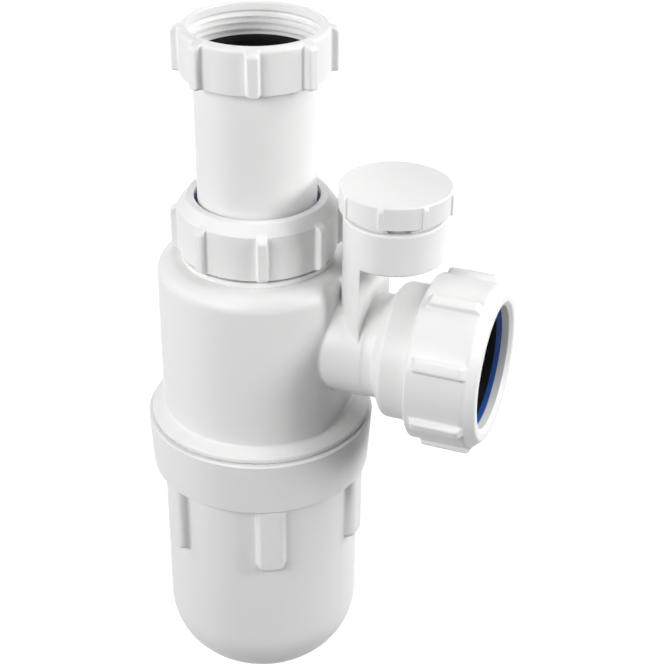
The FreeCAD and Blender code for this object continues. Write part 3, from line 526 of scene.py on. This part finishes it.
low, high = box("outlet_seal")
lathe("outlet_seal", rounded([
    (21.9, low[X], 0.2, 2), (25.5, low[X], 0.2, 2), (RING_OUTER, low[X] + 1.4, 0.2, 2),
    (RING_OUTER, high[X], 0.2, 2), (22.65, high[X], 0.1, 2), (22.65, high[X] - 0.75, 0, 2),
    (21.9, high[X] - 0.75, 0.1, 2),
]), axis="x", origin=(0, 0, OUTLET_Z))


# Valve cap and its rubber ring

CAP_R, CAP_BORE = 19.5, 18.2
lathe("valve_cap", rounded([
    (0, 5.8, 0, 3), (14.7, 5.8, 0.4, 2), (14.7, 3.9, 0.2, 2), (CAP_BORE, 3.9, 0.2, 0.5),
    (CAP_BORE, 0.0, 0.2, 2), (CAP_R, 0.0, 0.25, 1), (CAP_R, 8.3, 0.6, 2), (0, 8.3, 0, 3),
], closed=False),
    ribs=Ribs(8, 4.0, 2.0, CAP_R, 20.1, [
        (0, 20.1), (6.9, 20.1), (7.4, 19.9), (7.9, 19.4),
    ], least_r=19.3, edge=0.2, root=0.3),
    thread=Thread(0.1, 3.9, 3.0, 0.9, CAP_BORE, inside=True),
    poles=True, origin=(VALVE_X, 0, CAP_BOTTOM))
plain_ring("valve_gasket", 14.9, 16.8, 0.15, origin=(VALVE_X, 0, 0))

for node, slot in CARRIED.items():
    for place in bpy.data.objects[node].material_slots:
        place.link = "OBJECT"
        place.material = LOOKS[slot]


# The body moulding, from distance fields whose edges and inner corners are rounded.
# A field is below nought inside its form. Heights are counted from the shoulder, and
# a cut or a hidden end runs on past the form that it meets.

BODY_R, BODY_FLAT, BODY_FOOT = 36.5, 33.6, -60.3
CHAMBER_R, CHAMBER_FLAT, CHAMBER_TOP = 34.1, 31.2, -2.4
LEDGE = [(-9, -60.0), (BODY_R, -60.0), (41.0, -62.6), (41.0, -64.5), (-9, -64.5)]
SKIRT_BORE, SKIRT_TOP = 36.4, -62.4
NECK_R, NECK_BORE, NECK_TOP = 24.2, 21.6, 16.5
RING_R, RING_TOP = 27.2, 1.8
BRANCH_R, BRANCH_BORE = 19.0, 16.6
BRANCH_SWELL, SWELL_END, SWELL_RUN = 0.3, 47.0, 1.2      # thicker as far as the socket's foot
SOCKET = [(-9, 50.3), (BRANCH_R, 50.5), (24.8, 54.5), (24.8, 69.0), (-9, 69.0)]
SOCKET_R, SOCKET_BORE, SOCKET_STOP, SOCKET_END = 25.4, 21.8, 57.5, 81.4
TOWER_R, TOWER_FACE, TOWER_TOP = 17.9, 44.8, 14.0
HOUSING_FOOT, HOUSING_TOP = 9.2, 25.0
WEB_HALF, WEB_TOP, WEB_START, WEB_END = 4.0, -2.0, 30.0, 42.6
VALVE_NECK_R, VALVE_NECK_TOP = 16.1, 30.1
WELL_R, WELL_FLOOR, SEAT_R, SEAT_FLOOR = 13.4, 11.8, 14.9, 21.8
SLOTS, FIRST_SLOT, SLOT_HALF = 4, 24.0, 4.0
SLOT_LOW, SLOT_HIGH, SLOT_START, SLOT_END = 25.0, 27.2, 11.4, 19.0


def both(a, b, radius):
    """The space inside both fields, with their common edge rounded."""
    inner = np.minimum(np.maximum(a, b) + radius, 0)
    return inner + np.hypot(np.maximum(a + radius, 0), np.maximum(b + radius, 0)) - radius


def either(a, b, radius):
    """The space inside either field, with a fillet where they meet."""
    outer = np.maximum(radius, np.minimum(a, b))
    return outer - np.hypot(np.maximum(radius - a, 0), np.maximum(radius - b, 0))


def without(a, b, radius):
    return both(a, -b, radius)


def slab(value, low, high):
    return np.maximum(low - value, value - high)


def disc(r, z, radius, low, high, edge):
    """A cylinder with rounded rims."""
    return both(r - radius, slab(z, low, high), edge)


def sloped(r, z, points, edge):
    """A convex turned outline given as corners in order, with rounded corners."""
    field = None
    centre = np.mean(points, axis=0)
    for i, (r0, z0) in enumerate(points):
        r1, z1 = points[(i + 1) % len(points)]
        n = np.array([z1 - z0, r0 - r1]) / math.hypot(r1 - r0, z1 - z0)
        if n @ (centre - np.array([r0, z0])) > 0:
            n = -n
        side = n[0] * (r - r0) + n[1] * (z - z0)
        field = side if field is None else both(field, side, edge)
    return field


def outer_form(x, y, z):
    """The moulding's outside."""
    r = np.hypot(x, y)                          # from the inlet's axis
    q = np.hypot(y, z + BRANCH_BELOW)           # from the outlet's axis
    s = np.hypot(x - VALVE_X, y)                # from the valve's axis
    body = both(both(r - BODY_R, x - BODY_FLAT, 3.0), z, 6.0)
    body = np.maximum(body, BODY_FOOT - z)
    body = either(body, sloped(r, z, LEDGE, 0.35), 0.9)
    body = either(body, disc(r, z, RING_R, -4.0, RING_TOP, 0.3), 0.1)
    body = either(body, disc(r, z, NECK_R, -4.0, NECK_TOP, 0.3), 0.3)
    swell = BRANCH_SWELL * np.clip((SWELL_END - x) / SWELL_RUN, 0.0, 1.0)
    branch = disc(q - swell, x, BRANCH_R, 10.0, 60.0, 0.1)
    branch = either(branch, sloped(q, x, SOCKET, 0.9), 0.7)
    branch = either(branch, disc(q, x, SOCKET_R, 67.4, SOCKET_END, 0.3), 0.3)
    body = either(body, branch, 0.7)
    tower = both(s - TOWER_R, x - TOWER_FACE, 0.4)
    tower = np.maximum(tower, slab(z, -BRANCH_BELOW, TOWER_TOP))
    web = both(np.abs(y) - WEB_HALF, z - WEB_TOP, 1.0)
    web = np.maximum(web, slab(x, WEB_START, WEB_END))
    web = np.maximum(web, -BRANCH_BELOW - z)
    tower = either(tower, web, 0.5)
    housing = disc(s, z, TOWER_R, HOUSING_FOOT, HOUSING_TOP, 1.0)
    tower = np.minimum(tower, housing)          # walls in line, so without a fillet
    body = either(body, tower, 0.6)
    return either(body, disc(s, z, VALVE_NECK_R, 20.0, VALVE_NECK_TOP, 0.3), 0.3)


def moulding(x, y, z):
    """The outside less the chamber, the bores and the air slots."""
    r = np.hypot(x, y)
    q = np.hypot(y, z + BRANCH_BELOW)
    s = np.hypot(x - VALVE_X, y)
    chamber = both(r - CHAMBER_R, x - CHAMBER_FLAT, 1.0)
    chamber = both(chamber, slab(z, -90.0, CHAMBER_TOP), 3.5)
    solid = without(outer_form(x, y, z), chamber, 0.2)
    solid = without(solid, disc(r, z, SKIRT_BORE, -95.0, SKIRT_TOP, 0.5), 0.4)
    solid = without(solid, disc(r, z, NECK_BORE, -5.0, 40.0, 0.1), 0.4)
    solid = without(solid, disc(q, x, BRANCH_BORE, 26.0, 70.0, 0.1), 0.5)
    solid = without(solid, disc(q, x, SOCKET_BORE, SOCKET_STOP, 95.0, 0.3), 0.4)
    solid = without(solid, disc(s, z, WELL_R, WELL_FLOOR, 40.0, 0.3), 0.3)
    solid = without(solid, disc(s, z, SEAT_R, SEAT_FLOOR, 40.0, 0.2), 0.3)
    channel = both(s - WELL_R, x - WEB_END, 0.5)
    channel = np.maximum(channel, slab(z, -BRANCH_BELOW, TOWER_TOP))
    solid = without(solid, channel, 0.3)
    for k in range(SLOTS):
        turn = math.radians(FIRST_SLOT + 360.0 / SLOTS * k)
        u = (x - VALVE_X) * math.cos(turn) + y * math.sin(turn)
        v = -(x - VALVE_X) * math.sin(turn) + y * math.cos(turn)
        air_slot = both(np.abs(v) - SLOT_HALF, slab(z, SLOT_LOW, SLOT_HIGH), 0.3)
        air_slot = np.maximum(air_slot, slab(u, SLOT_START, SLOT_END))
        solid = without(solid, air_slot, 0.15)
    return solid


PULLS = 4               # how often the points are pulled onto the surface
FARTHEST = 0.6          # how far they may go in all
LEAST_SLOPE = 0.25      # keeps a flat spot in the field from throwing a point away
PULL_STEP, SHADE_STEP = 0.02, 0.12


def grid_lines(*runs):
    """Grid lines from runs of (start, end, spacing)."""
    lines = [np.linspace(a, b, int(math.ceil((b - a) / step)) + 1)[:-1] for a, b, step in runs]
    return np.concatenate(lines + [[runs[-1][1]]])


def surface_nets(field, xs, ys, zs):
    """A quad mesh of a field's zero surface on a grid of uneven lines."""
    grid = np.empty((len(xs), len(ys), len(zs)), dtype=np.float32)
    for i, x in enumerate(xs):
        yy, zz = np.meshgrid(ys, zs, indexing="ij")
        grid[i] = field(np.full_like(yy, x), yy, zz)
    inside = grid < 0
    wide, deep, high = len(xs) - 1, len(ys) - 1, len(zs) - 1
    total = sum(inside[a:a + wide, b:b + deep, c:c + high].astype(np.int8)
                for a in (0, 1) for b in (0, 1) for c in (0, 1))
    active = (total > 0) & (total < 8)
    index = np.full(active.shape, -1, dtype=np.int64)
    index[active] = np.arange(active.sum())
    sums = np.zeros((active.sum(), 3))
    hits = np.zeros(active.sum())
    lines = (xs, ys, zs)
    faces = []
    for axis in range(3):
        step = [0, 0, 0]
        step[axis] = 1
        near = tuple(slice(0, n - s) for n, s in zip(grid.shape, step))
        far = tuple(slice(s, n) for n, s in zip(grid.shape, step))
        cells = np.argwhere(inside[near] != inside[far])
        a = grid[tuple(cells.T)]
        b = grid[tuple((cells + step).T)]
        share = a / (a - b)
        point = np.stack([lines[k][cells[:, k]] for k in range(3)], 1).astype(float)
        reach = lines[axis][cells[:, axis] + 1] - lines[axis][cells[:, axis]]
        point[:, axis] += share * reach
        u, v = [k for k in range(3) if k != axis]
        around = []
        for du, dv in ((1, 1), (0, 1), (0, 0), (1, 0)):
            cell = cells.copy()
            cell[:, u] -= du
            cell[:, v] -= dv
            ok = (cell >= 0).all(axis=1) & (cell < np.array(active.shape)).all(axis=1)
            where = np.full(len(cells), -1, dtype=np.int64)
            where[ok] = index[tuple(cell[ok].T)]
            sums[where[ok]] += point[ok]
            hits[where[ok]] += 1
            around.append(where)
        quads = np.stack(around, 1)
        keep = (quads >= 0).all(axis=1)
        quads, turned = quads[keep], (a[keep] < 0) ^ (axis == 1)
        faces.append(np.where(turned[:, None], quads, quads[:, ::-1]))
    return sums / hits[:, None], np.vstack(faces)


def gradient(field, points, h):
    out = np.empty_like(points)
    for k in range(3):
        ahead, back = points.copy(), points.copy()
        ahead[:, k] += h
        back[:, k] -= h
        out[:, k] = (field(*ahead.T) - field(*back.T)) / (2 * h)
    return out


def field_piece(node, field, grid, origin_z):
    """Meshes a field, pulls its points onto the surface and shades it by its slope."""
    verts, faces = surface_nets(field, *grid)
    start = verts.copy()
    for _ in range(PULLS):
        slope = gradient(field, verts, PULL_STEP)
        away = field(*verts.T)
        size = np.maximum((slope ** 2).sum(axis=1), LEAST_SLOPE)
        verts = verts - slope * (away / size)[:, None]
        shift = verts - start
        far = np.linalg.norm(shift, axis=1, keepdims=True)
        verts = start + shift * np.minimum(1.0, FARTHEST / np.maximum(far, 1e-9))
    normals = gradient(field, verts, SHADE_STEP)
    verts[:, 2] += origin_z
    add_piece(node + "_moulding", verts, faces, node, normals)


field_piece("trap_body", moulding, (
    grid_lines((-41.7, 28.0, 1.45), (28.0, 46.0, 0.75), (46.0, 58.0, 0.7), (58.0, 82.2, 1.0)),
    grid_lines((-41.7, -20.0, 1.35), (-20.0, -7.0, 0.9), (-7.0, 7.0, 1.3), (7.0, 20.0, 0.9),
               (20.0, 41.7, 1.35)),
    grid_lines((-65.4, -58.6, 0.45), (-58.6, -8.0, 1.25), (-8.0, 4.0, 0.7), (4.0, 30.9, 0.85)),
), SHOULDER)


# Thin and threaded parts of the body moulding, turned beside its main mesh

SKIRT_R, NECK_THREAD_R, SOCKET_THREAD_R, VALVE_THREAD_R = 37.7, 24.3, 25.6, 16.2
MAIN_AXIS = (0, 0, SHOULDER)

lathe("trap_body", rounded([
    (NECK_BORE, -1.2, 0, 2), (23.8, -1.2, 0, 6), (23.8, -120.2, 0.4, 2),
    (NECK_BORE, -120.2, 0.4, 6),
]), name="dip_tube_moulding", origin=MAIN_AXIS)
lathe("trap_body", rounded([
    (36.35, -63.4, 0, 2), (SKIRT_R, -63.4, 0, 0.33), (SKIRT_R, -81.5, 0.3, 2),
    (36.35, -81.5, 0.3, 6),
]), name="skirt_moulding", thread=Thread(-80.9, -66.0, 5.0, 1.2, SKIRT_R), origin=MAIN_AXIS)
lathe("trap_body", rounded([
    (23.4, 3.0, 0, 2), (NECK_THREAD_R, 3.0, 0, 0.33), (NECK_THREAD_R, 16.6, 0.3, 1),
    (23.4, 16.6, 0.2, 2),
]), name="neck_thread_moulding", thread=Thread(4.2, 16.2, 4.0, 1.0, NECK_THREAD_R),
    origin=MAIN_AXIS)
lathe("trap_body", rounded([
    (24.6, 67.6, 0, 2), (SOCKET_THREAD_R, 67.6, 0, 0.33), (SOCKET_THREAD_R, 81.5, 0.3, 1),
    (24.6, 81.5, 0.2, 2),
]), name="socket_thread_moulding", thread=Thread(68.6, 81.0, 4.0, 1.3, SOCKET_THREAD_R),
    axis="x", origin=(0, 0, OUTLET_Z))
lathe("trap_body", rounded([
    (15.4, 27.3, 0, 2), (VALVE_THREAD_R, 27.3, 0, 0.2), (VALVE_THREAD_R, 30.2, 0.25, 1),
    (15.4, 30.2, 0.2, 2),
]), name="valve_thread_moulding", thread=Thread(27.5, 30.0, 3.0, 0.6, VALVE_THREAD_R),
    origin=(VALVE_X, 0, SHOULDER))
lathe("trap_body", rounded([
    (25.6, -1.0, 0, 2), (27.1, -1.0, 0, 1), (27.1, 0.25, 0.05, 1), (27.75, 0.35, 0.15, 1),
    (27.75, 2.1, 0.45, 1), (25.6, 2.1, 0, 2),
]), name="raised_ring_moulding", origin=MAIN_AXIS)


# Floor and world. The camera and reflections see them white, and they give little light.

FLOOR_BELOW = 57.0      # under the cup
FLOOR_SIZE = 6.0
FLOOR_GREY, FLOOR_GLOW = 0.20, 0.96
AMBIENT = 0.015
PURE_WHITE = (1.0, 1.0, 1.0, 1.0)


def any_ray(tree, *kinds):
    """A factor of 1 for the given kinds of ray."""
    path = tree.nodes.new("ShaderNodeLightPath")
    factor = path.outputs[kinds[0]]
    for kind in kinds[1:]:
        larger = tree.nodes.new("ShaderNodeMath")
        larger.operation = "MAXIMUM"
        tree.links.new(factor, larger.inputs[0])
        tree.links.new(path.outputs[kind], larger.inputs[1])
        factor = larger.outputs[0]
    return factor


def shine(tree, kind, strength):
    """A white emission or background of one strength."""
    node = tree.nodes.new(kind)
    node.inputs["Color"].default_value = PURE_WHITE
    node.inputs["Strength"].default_value = strength
    return node.outputs[0]


def mix_shaders(tree, factor, first, second):
    node = tree.nodes.new("ShaderNodeMixShader")
    tree.links.new(factor, node.inputs["Fac"])
    tree.links.new(first, node.inputs[1])
    tree.links.new(second, node.inputs[2])
    return node.outputs[0]


bpy.ops.mesh.primitive_plane_add(
    size=FLOOR_SIZE, location=(0.0, 0.0, (box("cup")[0][Z] - FLOOR_BELOW) * MM))
floor = bpy.context.object
floor.name = "floor"
material = bpy.data.materials.new("pale_floor")
material.use_nodes = True
tree = material.node_tree
tree.nodes.clear()
matt = tree.nodes.new("ShaderNodeBsdfDiffuse")
matt.inputs["Color"].default_value = (FLOOR_GREY, FLOOR_GREY, FLOOR_GREY, 1.0)
glow = mix_shaders(tree, any_ray(tree, "Is Camera Ray", "Is Glossy Ray"),
                   shine(tree, "ShaderNodeEmission", 0.0),
                   shine(tree, "ShaderNodeEmission", FLOOR_GLOW))
join = tree.nodes.new("ShaderNodeAddShader")
tree.links.new(matt.outputs[0], join.inputs[0])
tree.links.new(glow, join.inputs[1])
out = tree.nodes.new("ShaderNodeOutputMaterial")
tree.links.new(join.outputs[0], out.inputs["Surface"])
floor.data.materials.append(material)
floor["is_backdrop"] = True

world = bpy.data.worlds.new("studio")
bpy.context.scene.world = world
world.use_nodes = True
tree = world.node_tree
tree.nodes.clear()
light = mix_shaders(
    tree, any_ray(tree, "Is Camera Ray", "Is Transmission Ray", "Is Glossy Ray"),
    shine(tree, "ShaderNodeBackground", AMBIENT), shine(tree, "ShaderNodeBackground", 1.0))
out = tree.nodes.new("ShaderNodeOutputWorld")
tree.links.new(light, out.inputs["Surface"])


# Lamps

MIDDLE = Vector((0.02, 0.0, -0.11))     # what they aim at, in metres
LAMP_DISTANCE = 1.1
CAMERA_TURN = -66.4                     # the camera's angle round the z axis
LAMPS = (
    # name, angle up, angle round from the camera, size in metres, watts
    ("left_soft_box", 28, -90, 0.6, 3.4),
    ("front_left_soft_box", 26, -45, 0.6, 8.4),
    ("right_soft_box", 22, 68, 0.30, 7.2),
    ("high_right_soft_box", 38, 100, 0.5, 5.6),
    ("overhead_soft_box", 75, -20, 0.5, 0.5),
    ("back_soft_box", 12, 190, 0.6, 2.0),
)
for name, height, side, size, energy in LAMPS:
    turn = math.radians(CAMERA_TURN + side)
    up = math.radians(height)
    way = Vector((math.cos(up) * math.cos(turn), math.cos(up) * math.sin(turn), math.sin(up)))
    data = bpy.data.lights.new(name, "AREA")
    data.shape = "SQUARE"
    data.size = size
    data.energy = energy
    lamp = bpy.data.objects.new(name, data)
    bpy.context.collection.objects.link(lamp)
    lamp.location = MIDDLE + way * LAMP_DISTANCE
    lamp.rotation_euler = (-way).to_track_quat("-Z", "Y").to_euler()


# Camera at the photograph's viewing angle, in millimetres

CAMERA_PLACE = (190.54, -436.76, 171.49)
RIGHT = (0.93562, 0.35285, 0.01062)
UP = (-0.18706, 0.47005, 0.86259)
BACK = (0.29937, -0.80904, 0.50579)
FOCAL_PIXELS = 1481.16
PHOTO_WIDTH = 665
SENSOR_WIDTH = 36.0
camera_data = bpy.data.cameras.new("photo_camera")
camera_data.sensor_width = SENSOR_WIDTH
camera_data.lens = FOCAL_PIXELS / PHOTO_WIDTH * SENSOR_WIDTH
camera_data.clip_start = 0.01
camera = bpy.data.objects.new("photo_camera", camera_data)
bpy.context.collection.objects.link(camera)
placing = Matrix([RIGHT, UP, BACK]).transposed().to_4x4()
placing.translation = [value * MM for value in CAMERA_PLACE]
camera.matrix_world = placing
bpy.context.scene.camera = camera
bpy.context.scene.view_settings.view_transform = "Standard"

low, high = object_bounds()
